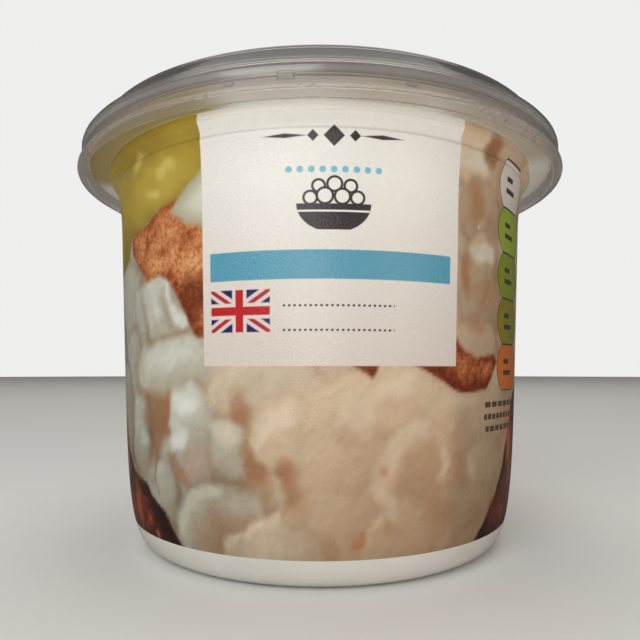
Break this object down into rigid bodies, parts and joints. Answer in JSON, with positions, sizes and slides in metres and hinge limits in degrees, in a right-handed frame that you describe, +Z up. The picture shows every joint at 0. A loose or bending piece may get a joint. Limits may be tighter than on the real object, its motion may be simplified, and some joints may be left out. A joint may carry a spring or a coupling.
{
  "type": "lidded cottage cheese tub",
  "caption": "Shut round plastic tub of cottage cheese with a clear push-on lid, a sealed rim, rounded base corners and a picture wrap with a plain front panel.",
  "frame": {"origin": "middle of the base, on the plane the foot ring rests on", "axes": "+Z up along the tub's axis of turning; the front panel of the wrap faces -Y, +X to its right"},
  "size_m": [0.0962, 0.0962, 0.0772],
  "materials": {
    "tub": "satin white plastic under a printed wrap",
    "film": "satin white sealing film",
    "lid": "clear gloss plastic"
  },
  "bodies": {
    "root": {"tub": "tub", "seal_film": "film", "lid": "lid"}
  },
  "joints": []
}
